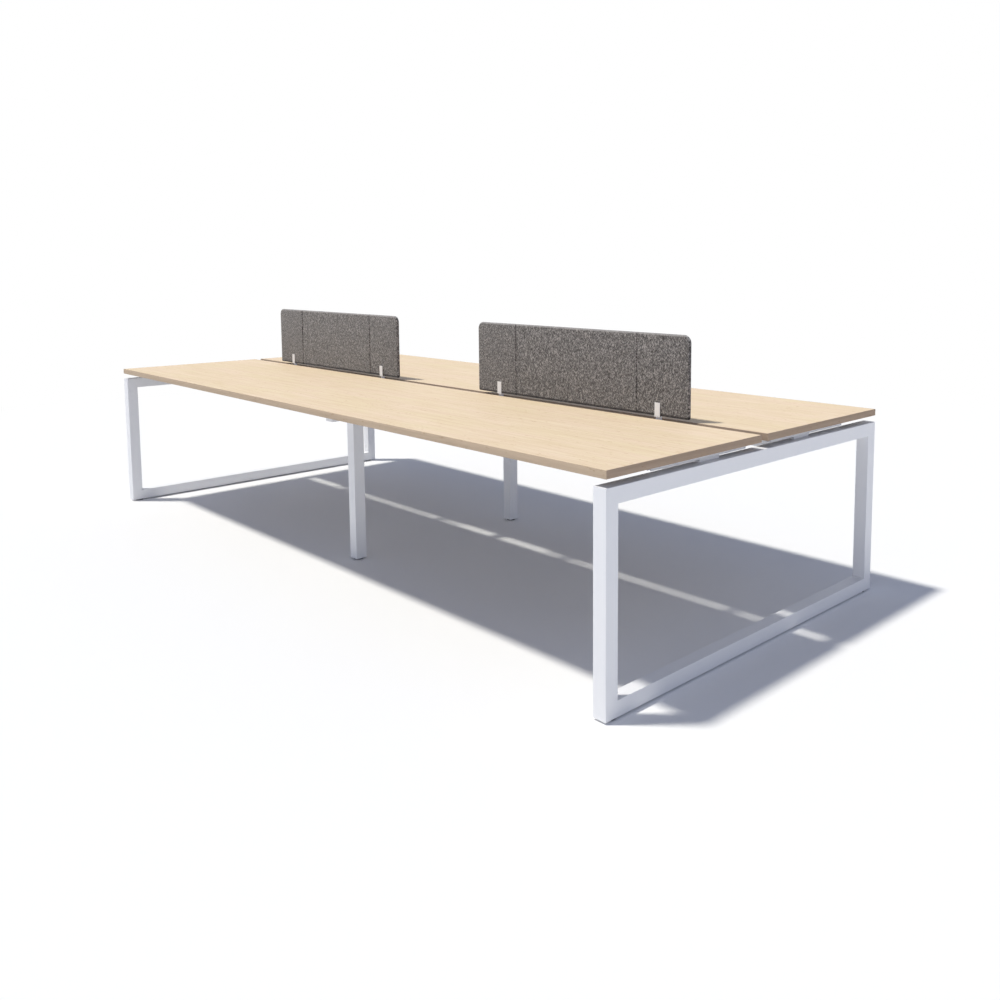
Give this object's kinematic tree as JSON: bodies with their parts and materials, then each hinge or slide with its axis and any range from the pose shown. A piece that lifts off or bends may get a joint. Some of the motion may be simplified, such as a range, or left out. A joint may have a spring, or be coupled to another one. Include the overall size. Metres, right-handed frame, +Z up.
{
  "type": "bench desk",
  "caption": "Back-to-back bench desk: long maple worktops on white looped steel end frames and a centre frame, with felt screens along the middle and levelling feet.",
  "frame": {"origin": "on the floor under the middle of the desk, with every levelling foot screwed fully in", "axes": "+X along the desk to the right as seen from the front, +Y across it to the back, +Z up"},
  "size_m": [3.6, 1.53, 1.037],
  "materials": {
    "maple_laminate": "light maple laminate, satin, fine grain along the desk, with a grey-brown backing sheet below",
    "maple_edging": "maple-print ABS edge band, satin",
    "white_powder_coat": "white powder coat, satin with a fine orange peel",
    "grey_felt": "heathered warm grey pressed felt",
    "black_plastic": "moulded black nylon, fine texture",
    "zinc_steel": "bright zinc plate"
  },
  "bodies": {
    "desk": {"worktop_front": "maple_laminate", "edge_band_front_outer": "maple_edging", "edge_band_front_inner": "maple_edging", "edge_band_front_left": "maple_edging", "edge_band_front_right": "maple_edging", "worktop_back": "maple_laminate", "edge_band_back_outer": "maple_edging", "edge_band_back_inner": "maple_edging", "edge_band_back_left": "maple_edging", "edge_band_back_right": "maple_edging", "left_frame_top_rail": "white_powder_coat", "left_frame_bottom_rail": "white_powder_coat", "left_frame_front_upright": "white_powder_coat", "left_frame_back_upright": "white_powder_coat", "right_frame_top_rail": "white_powder_coat", "right_frame_bottom_rail": "white_powder_coat", "right_frame_front_upright": "white_powder_coat", "right_frame_back_upright": "white_powder_coat", "centre_cross_beam": "white_powder_coat", "centre_leg_front": "white_powder_coat", "long_beam_front_left": "white_powder_coat", "long_beam_front_right": "white_powder_coat", "support_rail_front_left": "white_powder_coat", "support_rail_front_centre": "white_powder_coat", "support_rail_front_right": "white_powder_coat", "rail_spacer_front_left": "white_powder_coat", "rail_spacer_front_right": "white_powder_coat", "centre_leg_back": "white_powder_coat", "long_beam_back_left": "white_powder_coat", "long_beam_back_right": "white_powder_coat", "support_rail_back_left": "white_powder_coat", "support_rail_back_centre": "white_powder_coat", "support_rail_back_right": "white_powder_coat", "rail_spacer_back_left": "white_powder_coat", "rail_spacer_back_right": "white_powder_coat", "screen_left": "grey_felt", "screen_bracket_left_inner": "white_powder_coat", "screen_bracket_left_outer": "white_powder_coat", "screen_right": "grey_felt", "screen_bracket_right_inner": "white_powder_coat", "screen_bracket_right_outer": "white_powder_coat", "weld_nut_front_left": "zinc_steel", "leg_plug_front_centre": "black_plastic", "weld_nut_front_right": "zinc_steel", "weld_nut_back_left": "zinc_steel", "leg_plug_back_centre": "black_plastic", "weld_nut_back_right": "zinc_steel"},
    "pad_front_left": {"foot_pad_front_left": "black_plastic"},
    "stud_front_left": {"foot_stud_front_left": "zinc_steel"},
    "pad_front_centre": {"foot_pad_front_centre": "black_plastic"},
    "stud_front_centre": {"foot_stud_front_centre": "zinc_steel"},
    "pad_front_right": {"foot_pad_front_right": "black_plastic"},
    "stud_front_right": {"foot_stud_front_right": "zinc_steel"},
    "pad_back_left": {"foot_pad_back_left": "black_plastic"},
    "stud_back_left": {"foot_stud_back_left": "zinc_steel"},
    "pad_back_centre": {"foot_pad_back_centre": "black_plastic"},
    "stud_back_centre": {"foot_stud_back_centre": "zinc_steel"},
    "pad_back_right": {"foot_pad_back_right": "black_plastic"},
    "stud_back_right": {"foot_stud_back_right": "zinc_steel"}
  },
  "joints": [
    {"name": "foot_front_left_height", "type": "slide", "parent": "desk", "child": "pad_front_left", "axis": [0, 0, -1], "range_m": [0, 0.015]},
    {"name": "foot_front_left_turn", "type": "hinge", "parent": "pad_front_left", "child": "stud_front_left", "pos_m": [-1.775, -0.725, 0], "axis": [0, 0, -1], "range_deg": [0, 3600]},
    {"name": "foot_front_centre_height", "type": "slide", "parent": "desk", "child": "pad_front_centre", "axis": [0, 0, -1], "range_m": [0, 0.015]},
    {"name": "foot_front_centre_turn", "type": "hinge", "parent": "pad_front_centre", "child": "stud_front_centre", "pos_m": [0, -0.441, 0], "axis": [0, 0, -1], "range_deg": [0, 3600]},
    {"name": "foot_front_right_height", "type": "slide", "parent": "desk", "child": "pad_front_right", "axis": [0, 0, -1], "range_m": [0, 0.015]},
    {"name": "foot_front_right_turn", "type": "hinge", "parent": "pad_front_right", "child": "stud_front_right", "pos_m": [1.775, -0.725, 0], "axis": [0, 0, -1], "range_deg": [0, 3600]},
    {"name": "foot_back_left_height", "type": "slide", "parent": "desk", "child": "pad_back_left", "axis": [0, 0, -1], "range_m": [0, 0.015]},
    {"name": "foot_back_left_turn", "type": "hinge", "parent": "pad_back_left", "child": "stud_back_left", "pos_m": [-1.775, 0.725, 0], "axis": [0, 0, -1], "range_deg": [0, 3600]},
    {"name": "foot_back_centre_height", "type": "slide", "parent": "desk", "child": "pad_back_centre", "axis": [0, 0, -1], "range_m": [0, 0.015]},
    {"name": "foot_back_centre_turn", "type": "hinge", "parent": "pad_back_centre", "child": "stud_back_centre", "pos_m": [0, 0.441, 0], "axis": [0, 0, -1], "range_deg": [0, 3600]},
    {"name": "foot_back_right_height", "type": "slide", "parent": "desk", "child": "pad_back_right", "axis": [0, 0, -1], "range_m": [0, 0.015]},
    {"name": "foot_back_right_turn", "type": "hinge", "parent": "pad_back_right", "child": "stud_back_right", "pos_m": [1.775, 0.725, 0], "axis": [0, 0, -1], "range_deg": [0, 3600]}
  ],
  "couplings": [
    {"joint": "foot_front_left_turn", "follows": "foot_front_left_height", "rad_per_m": 4188.8},
    {"joint": "foot_front_centre_turn", "follows": "foot_front_centre_height", "rad_per_m": 4188.8},
    {"joint": "foot_front_right_turn", "follows": "foot_front_right_height", "rad_per_m": 4188.8},
    {"joint": "foot_back_left_turn", "follows": "foot_back_left_height", "rad_per_m": 4188.8},
    {"joint": "foot_back_centre_turn", "follows": "foot_back_centre_height", "rad_per_m": 4188.8},
    {"joint": "foot_back_right_turn", "follows": "foot_back_right_height", "rad_per_m": 4188.8}
  ]
}
